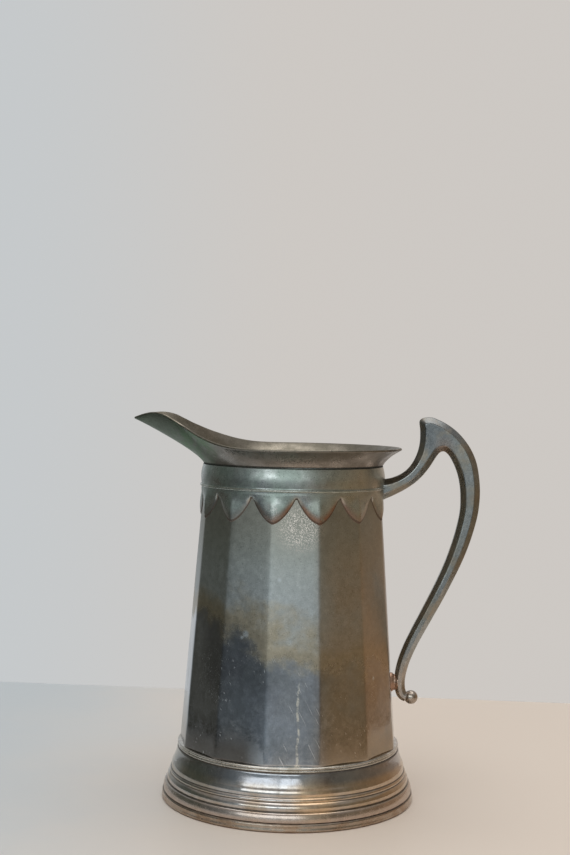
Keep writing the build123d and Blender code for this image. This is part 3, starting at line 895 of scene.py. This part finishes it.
# The stub is drawn out step by step: how far forward, and how much wider or narrower.
for forward, growth in ((1.7, 1.0), (0.5, 0.9), (0.6, 0.93), (0.6, 0.98), (0.5, 1.04),
                        (0.4, 1.1), (0.6, 1.0)):
    bpy.ops.mesh.extrude_region_move(
        TRANSFORM_OT_translate={"value": (forward * mm, 0, 0)})
    bpy.ops.transform.resize(value=(1, growth, growth), center_override=(0, 0, lug_middle.z))
close_up(lug, 60)
hammered(lug, 0.3 * mm, 3 * mm)
apply_modifiers(lug)
lug_copper = WornPlate("solder_copper", (0.62, 0.44, 0.34), (0.42, 0.26, 0.18), clouds=5 * mm,
                       gloss=0.22, matt=0.42)
lug.data.materials.append(lug_copper.finish())
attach(lug, "root")
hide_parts("handle_lug")

# ---- The table -------------------------------------------------------------------------------
# A plain slab with pale matt paint, which the pitcher stands on. Its colour has painted light in
# it: a little blue on the spout's side and warm on the handle's side.
table_wide, table_deep, table_thick = 0.56, 0.54, 0.02
bpy.ops.object.select_all(action="DESELECT")
bpy.ops.mesh.primitive_cube_add(size=1, location=(0, -0.012, -table_thick / 2),
                                scale=(table_wide, table_deep, table_thick))
table = bpy.context.object
table.name = "table_top"
bpy.ops.object.transform_apply(location=True, rotation=True, scale=True)
paint = bpy.data.materials.new("pale_paint")
paint.use_nodes = True
tree = paint.node_tree
painted = tree.nodes["Principled BSDF"]
painted.inputs["Roughness"].default_value = 0.55
place = lay(tree, "TexCoord").outputs["Object"]
uneven = reckon(tree, "MULTIPLY", grain(tree, place, 90 * mm, 3), 80 * mm)
side = reckon(tree, "ADD", lay(tree, "SeparateXYZ", {0: place}).outputs[0], uneven)
# Painted light: cool on the spout's side and warm on the handle's side.
painted_side_light = coat(tree, fade(tree, side, -200 * mm, 80 * mm), (0.60, 0.66, 0.70), (0.87, 0.765, 0.67))
tree.links.new(painted_side_light, painted.inputs["Base Color"])
table.data.materials.append(paint)

# ---- The light -------------------------------------------------------------------------------
# A soft daylight room: a tall window in two lights in front, a dim side to the left, a warm
# side to the right and pale walls behind.
facing = radians(-85.4)
world = bpy.data.worlds.new("room")
bpy.context.scene.world = world
world.use_nodes = True
tree = world.node_tree
look = lay(tree, "TexCoord").outputs["Generated"]
look_x, look_y, look_z = lay(tree, "SeparateXYZ", {0: look}).outputs
from_front = reckon(tree, "SUBTRACT", reckon(tree, "ARCTAN2", look_y, look_x), facing)
round_room = reckon(tree, "FRACT", reckon(
    tree, "ADD", reckon(tree, "DIVIDE", from_front, 2 * pi), 1.0))


def round_about(colours):
    """Colours round the room, each one a (degrees to the right of the front, colour)."""
    ramp = lay(tree, "ValToRGB", {0: round_room})
    stops = ramp.color_ramp.elements
    for number, (turned_to, colour) in enumerate((*colours, (360, colours[0][1]))):
        stop = stops[number] if number < 2 else stops.new(1)
        stop.position = turned_to / 360
        stop.color = (*colour, 1)
    return ramp.outputs[0]


walls = round_about((
    (0, (0.47, 0.53, 0.55)), (20, (0.38, 0.41, 0.40)), (40, (0.17, 0.15, 0.12)),
    (60, (0.23, 0.21, 0.165)), (90, (0.26, 0.20, 0.14)), (115, (0.34, 0.25, 0.17)),
    (145, (0.50, 0.42, 0.36)), (170, (0.62, 0.58, 0.55)), (197, (0.62, 0.65, 0.68)),
    (222, (0.30, 0.32, 0.32)), (240, (0.11, 0.12, 0.105)), (265, (0.10, 0.115, 0.10)),
    (290, (0.13, 0.14, 0.14)), (310, (0.24, 0.27, 0.28)), (335, (0.40, 0.46, 0.48))))
low_walls = round_about((
    (0, (0.36, 0.39, 0.41)), (20, (0.26, 0.26, 0.26)), (40, (0.18, 0.14, 0.10)),
    (60, (0.26, 0.205, 0.135)), (90, (0.26, 0.19, 0.12)), (115, (0.37, 0.25, 0.16)),
    (145, (0.44, 0.36, 0.30)), (170, (0.58, 0.55, 0.52)), (197, (0.58, 0.60, 0.62)),
    (222, (0.24, 0.25, 0.25)), (240, (0.09, 0.088, 0.075)), (265, (0.085, 0.082, 0.07)),
    (290, (0.075, 0.08, 0.08)), (310, (0.13, 0.145, 0.155)), (335, (0.24, 0.27, 0.29))))
upper = fade(tree, look_z, 0.42, 0.62)
ceiling = fade(tree, look_z, 0.8, 0.95)
below = fade(tree, look_z, 0.03, -0.06)
room = coat(tree, upper, walls, (0.34, 0.33, 0.32))
room = coat(tree, ceiling, room, (2.1, 2.05, 2.0))
room = coat(tree, below, room, low_walls)
# Seen straight, the wall behind is plain: cool on the left and warm on the right.
wall = coat(tree, fade(tree, look_x, -0.32, -0.06), (0.56, 0.585, 0.60), (0.61, 0.58, 0.55))
seen = coat(tree, lay(tree, "LightPath").outputs["Is Camera Ray"], room, wall)
tree.links.new(seen, tree.nodes["Background"].inputs["Color"])
tree.nodes["Background"].inputs["Strength"].default_value = 1.0

# Each window light is as wide as its angle says, and both have the same foot and top.
window_distance = 1.6
window_foot, window_top = tan(radians(8)), tan(radians(26))
window_glow = 1.6
aim_height = 0.1
for name, middle, width in (("window_left", -26.5, 35), ("window_right", 2.5, 19)):
    window = bpy.data.lights.new(name, "AREA")
    window.shape = "RECTANGLE"
    window.size = 2 * window_distance * tan(radians(width / 2))
    window.size_y = window_distance * (window_top - window_foot)
    window.energy = window.size * window.size_y * pi * window_glow
    window.color = (0.93, 0.98, 1.0)
    lamp = bpy.data.objects.new(name, window)
    bpy.context.collection.objects.link(lamp)
    turned_to = facing + radians(middle)
    lamp.location = (window_distance * cos(turned_to), window_distance * sin(turned_to),
                     aim_height + window_distance * (window_top + window_foot) / 2)
    to_pitcher = Vector((0, 0, aim_height)) - lamp.location
    lamp.rotation_euler = to_pitcher.to_track_quat("-Z", "Y").to_euler()

# ---- The camera ------------------------------------------------------------------------------
# It stands in front of the pitcher, a little above the rim, and looks at its side with the
# spout to the left. It is tipped by about a degree.
camera_place = (0.0604, -0.7508, 0.2221)
camera_turn, camera_dip, camera_tip = radians(4.98), radians(1.268), radians(1.094)
camera_data = bpy.data.cameras.new("camera")
camera_data.lens = 56.84
camera_data.sensor_width = 36
camera = bpy.data.objects.new("camera", camera_data)
bpy.context.collection.objects.link(camera)
camera.matrix_world = (Matrix.Translation(camera_place)
                       @ Matrix.Rotation(camera_turn, 4, "Z")
                       @ Matrix.Rotation(pi / 2 - camera_dip, 4, "X")
                       @ Matrix.Rotation(camera_tip, 4, "Z"))
bpy.context.scene.camera = camera
bpy.context.scene.view_settings.view_transform = "Standard"
